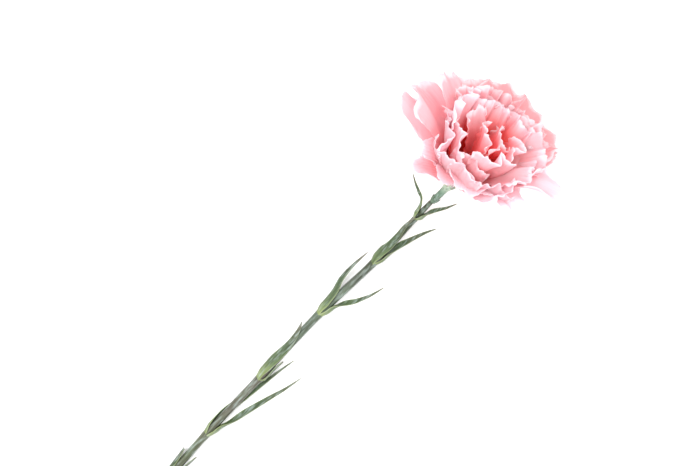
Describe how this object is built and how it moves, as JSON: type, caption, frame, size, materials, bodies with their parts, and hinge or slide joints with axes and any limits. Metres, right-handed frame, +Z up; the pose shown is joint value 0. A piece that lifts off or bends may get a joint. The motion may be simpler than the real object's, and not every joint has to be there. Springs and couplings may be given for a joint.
{
  "type": "cut carnation",
  "caption": "Pink cut carnation lying on its side, with a ruffled double bloom and paired narrow leaves on a jointed grey-green stem.",
  "frame": {"origin": "on the surface that the flower lies on, in the flat spot under the stem's cut end", "axes": "+X along the stem from the cut end to the bloom, +Z up from the surface, +Y to the left of the stem seen from above"},
  "size_m": [0.2747, 0.0757, 0.0505],
  "materials": {
    "stem": "green skin under a patchy grey wax bloom, matte",
    "leaf": "smooth green with a waxy grey side and pale edges, satin",
    "calyx": "waxy grey-green with pale tooth tips, satin",
    "petal": "thin soft pink petals, coral at the foot and near white at the margin, matte and translucent"
  },
  "bodies": {
    "root": {"stem": "stem", "leaf_1_left": "leaf", "leaf_1_right": "leaf", "leaf_2_left": "leaf", "leaf_2_right": "leaf", "leaf_3_left": "leaf", "leaf_3_right": "leaf", "leaf_4_left": "leaf", "leaf_4_right": "leaf", "leaf_5_left": "leaf", "leaf_5_right": "leaf", "leaf_6_left": "leaf", "leaf_6_right": "leaf", "calyx": "calyx", "bloom": "petal"}
  },
  "joints": []
}
